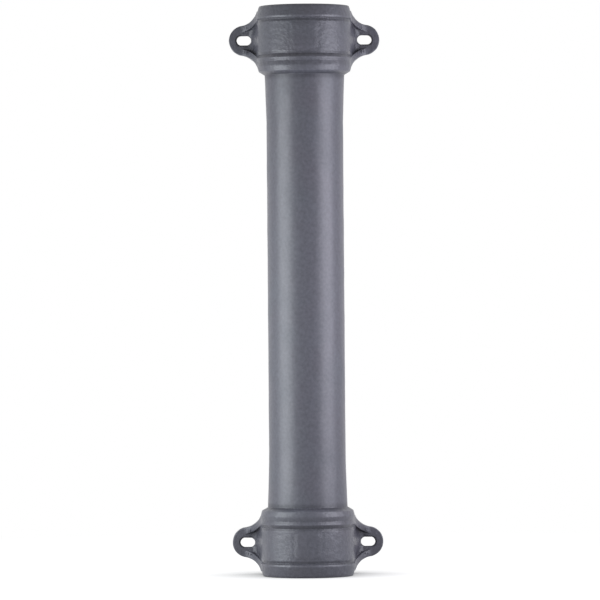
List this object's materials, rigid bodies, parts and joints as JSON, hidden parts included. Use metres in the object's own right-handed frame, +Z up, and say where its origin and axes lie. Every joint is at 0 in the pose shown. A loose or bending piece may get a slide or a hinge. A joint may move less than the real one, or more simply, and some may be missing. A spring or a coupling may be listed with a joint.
{
  "type": "cast iron rainwater downpipe",
  "caption": "Round cast iron rainwater downpipe with a moulded socket and slotted fixing ears at both ends, in grey primer.",
  "frame": {"origin": "centre of the lower mouth, on the pipe's axis, in the plane of the rim that the pipe stands on", "axes": "+Z up the pipe's axis, +X towards the right-hand ears as seen from the front, +Y towards the wall, so the front faces -Y"},
  "size_m": [0.1626, 0.1029, 0.61],
  "materials": {
    "primed_cast_iron": "satin grey transit primer over sand-cast iron"
  },
  "bodies": {
    "root": {"downpipe": "primed_cast_iron"}
  },
  "joints": []
}
